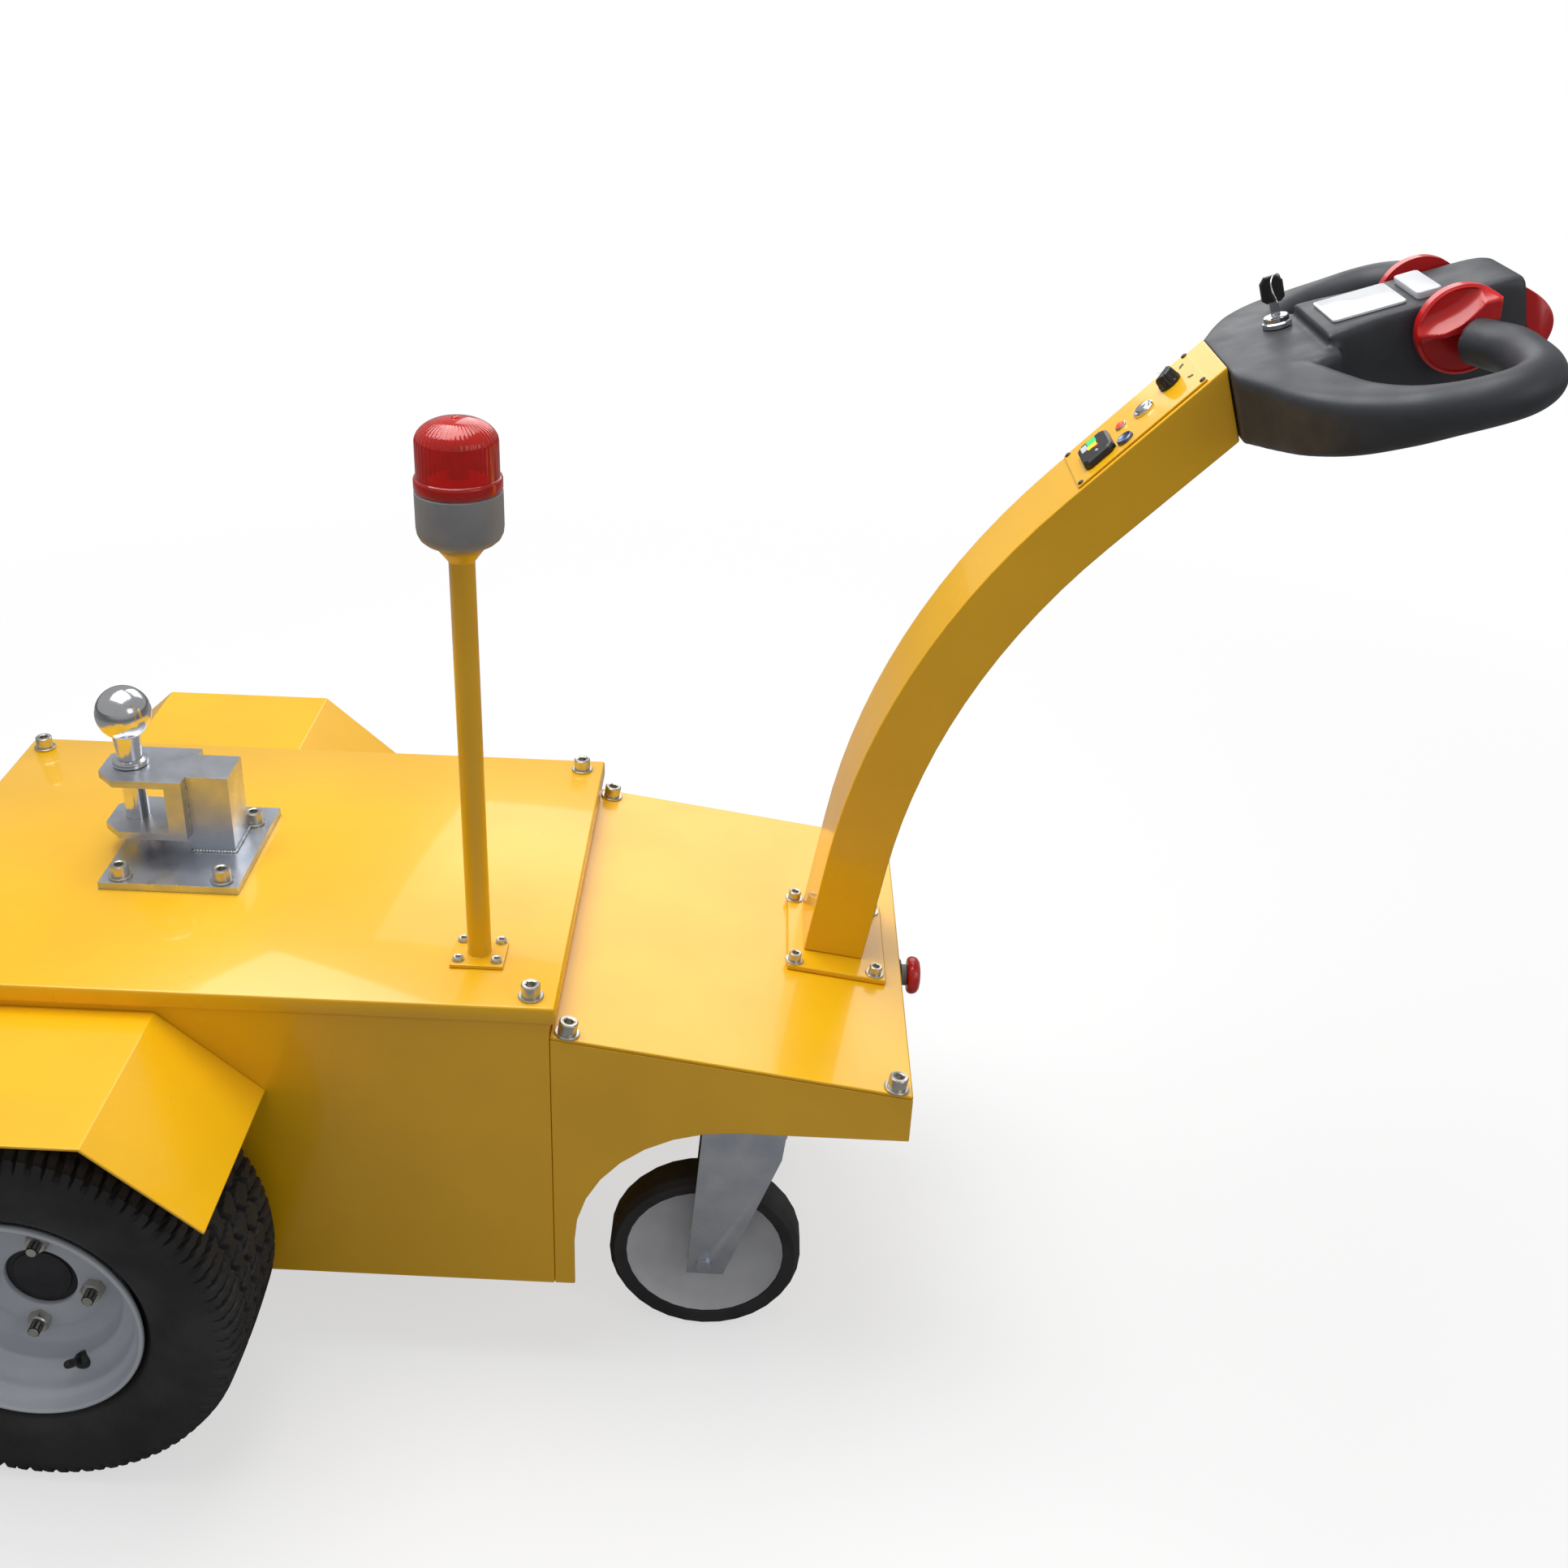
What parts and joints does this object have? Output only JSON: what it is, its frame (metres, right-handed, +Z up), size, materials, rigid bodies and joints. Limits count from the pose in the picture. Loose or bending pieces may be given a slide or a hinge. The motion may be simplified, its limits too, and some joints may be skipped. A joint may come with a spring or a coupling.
{
  "type": "walk-behind electric tow tug",
  "caption": "Walk-behind electric tow tug with two driven turf wheels, two swivel casters, a clevis tow hitch, a warning lamp on a mast and a curved tiller arm.",
  "frame": {"origin": "on the floor under the middle of the whole tug", "axes": "+Z up, +X towards the tiller, +Y to the left of someone who looks along +X"},
  "size_m": [1.522, 0.874, 1.0965],
  "materials": {
    "safety_yellow": "gloss powder coat",
    "zinc_plate": "bright zinc plate",
    "bright_steel": "polished",
    "tyre_rubber": "matte",
    "rim_grey": "satin",
    "charcoal_plastic": "matte",
    "red_plastic": "gloss",
    "pale_grey_plastic": "satin",
    "black_iron": "matte"
  },
  "bodies": {
    "chassis": {"arm_foot_plate": "safety_yellow", "axle_tube": "black_iron", "battery_block": "charcoal_plastic", "battery_gauge": "charcoal_plastic", "belly_button": "red_plastic", "box_body": "safety_yellow", "caster_plate_left": "zinc_plate", "caster_plate_right": "zinc_plate", "control_panel": "safety_yellow", "display_blank": "pale_grey_plastic", "drive_motor": "black_iron", "fender_left": "safety_yellow", "fender_right": "safety_yellow", "front_frame": "safety_yellow", "horn_button": "bright_steel", "key_switch": "bright_steel", "lamp_base": "pale_grey_plastic", "lamp_lens": "red_plastic", "lamp_mast": "safety_yellow", "lid": "safety_yellow", "pin_ring": "bright_steel", "power_lamp": "red_plastic", "signal_button": "pale_grey_plastic", "sloped_cover": "safety_yellow", "speed_knob": "charcoal_plastic", "start_button": "bright_steel", "stop_barrel": "pale_grey_plastic", "stop_button": "red_plastic", "switch_key": "charcoal_plastic", "throttle_left": "red_plastic", "throttle_right": "red_plastic", "tiller_arm": "safety_yellow", "tiller_head": "charcoal_plastic", "tow_hitch": "zinc_plate", "tow_pin": "bright_steel"},
    "drive_wheel_left": {"hub_left": "bright_steel", "rim_left": "rim_grey", "tyre_left": "tyre_rubber"},
    "drive_wheel_right": {"hub_right": "bright_steel", "rim_right": "rim_grey", "tyre_right": "tyre_rubber"},
    "caster_swivel_left": {"caster_fork_left": "zinc_plate"},
    "caster_swivel_right": {"caster_fork_right": "zinc_plate"},
    "caster_wheel_left": {"caster_hub_left": "pale_grey_plastic", "caster_tyre_left": "tyre_rubber"},
    "caster_wheel_right": {"caster_hub_right": "pale_grey_plastic", "caster_tyre_right": "tyre_rubber"}
  },
  "joints": [
    {"name": "drive_axle_left", "type": "hinge", "parent": "chassis", "child": "drive_wheel_left", "pos_m": [-0.55948, 0.3395, 0.2015], "axis": [0, 1, 0], "continuous": true},
    {"name": "drive_axle_right", "type": "hinge", "parent": "chassis", "child": "drive_wheel_right", "pos_m": [-0.55948, -0.3395, 0.2015], "axis": [0, 1, 0], "continuous": true},
    {"name": "swivel_left", "type": "hinge", "parent": "chassis", "child": "caster_swivel_left", "pos_m": [0.10252, 0.158, 0.282], "axis": [0, 0, 1], "continuous": true},
    {"name": "swivel_right", "type": "hinge", "parent": "chassis", "child": "caster_swivel_right", "pos_m": [0.10252, -0.158, 0.282], "axis": [0, 0, 1], "continuous": true},
    {"name": "caster_axle_left", "type": "hinge", "parent": "caster_swivel_left", "child": "caster_wheel_left", "pos_m": [0.05752, 0.158, 0.1], "axis": [0, 1, 0], "continuous": true},
    {"name": "caster_axle_right", "type": "hinge", "parent": "caster_swivel_right", "child": "caster_wheel_right", "pos_m": [0.05752, -0.158, 0.1], "axis": [0, 1, 0], "continuous": true}
  ]
}
